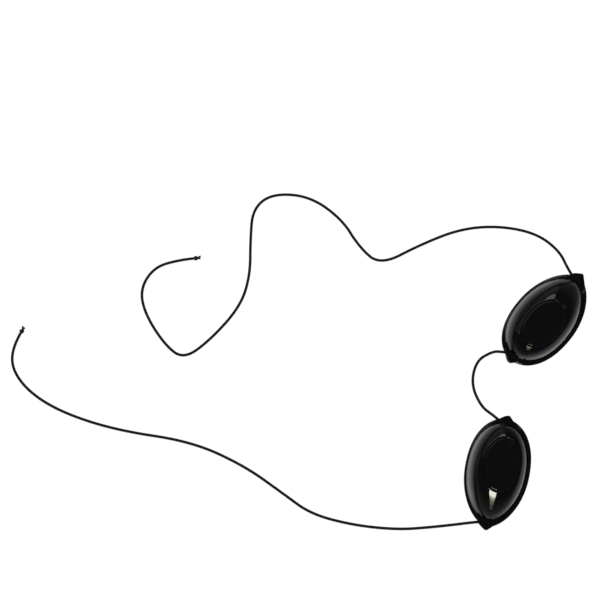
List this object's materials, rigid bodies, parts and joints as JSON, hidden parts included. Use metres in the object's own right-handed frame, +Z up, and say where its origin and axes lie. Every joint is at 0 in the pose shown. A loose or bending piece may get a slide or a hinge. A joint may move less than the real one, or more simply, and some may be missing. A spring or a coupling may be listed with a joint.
{
  "type": "tanning goggles",
  "caption": "Small smoked eye cups with raised oval lenses and pointed lugs, strung on one thin black elastic cord that lies in loose curves.",
  "frame": {"origin": "on the surface the goggles lie on, under the middle of the two cups", "axes": "+Z up out of the lenses; +Y from the left cup towards the right cup, up the page as pictured; +X to the right"},
  "size_m": [0.2842, 0.1667, 0.0124],
  "materials": {
    "smoked_shell": "polished smoke-grey plastic, near black where it is thick and grey where its wall runs down to the rim",
    "dark_lens": "polished near-black filter plastic with a faint brown cast",
    "elastic_cord": "fine round braid over elastic, matte black with a soft sheen"
  },
  "bodies": {
    "cord": {"right_head_cord": "elastic_cord", "left_head_cord": "elastic_cord", "nose_cord": "elastic_cord", "right_inner_cord": "elastic_cord", "left_inner_cord": "elastic_cord", "right_temple_knot": "elastic_cord", "right_nose_knot": "elastic_cord", "left_temple_knot": "elastic_cord", "left_nose_knot": "elastic_cord", "right_end_knot": "elastic_cord", "left_end_knot": "elastic_cord"},
    "right_eye_cup": {"right_cup": "smoked_shell", "right_lens": "dark_lens"},
    "left_eye_cup": {"left_cup": "smoked_shell", "left_lens": "dark_lens"}
  },
  "joints": [
    {"name": "right_cup_tilt", "type": "hinge", "parent": "cord", "child": "right_eye_cup", "pos_m": [0.00752, 0.04238, 0.002], "axis": [0.6447, 0.7645, 0], "range_deg": [-10, 10]},
    {"name": "left_cup_tilt", "type": "hinge", "parent": "cord", "child": "left_eye_cup", "pos_m": [-0.01819, -0.03485, 0.002], "axis": [-0.2106, -0.9776, 0], "range_deg": [-10, 10]}
  ]
}
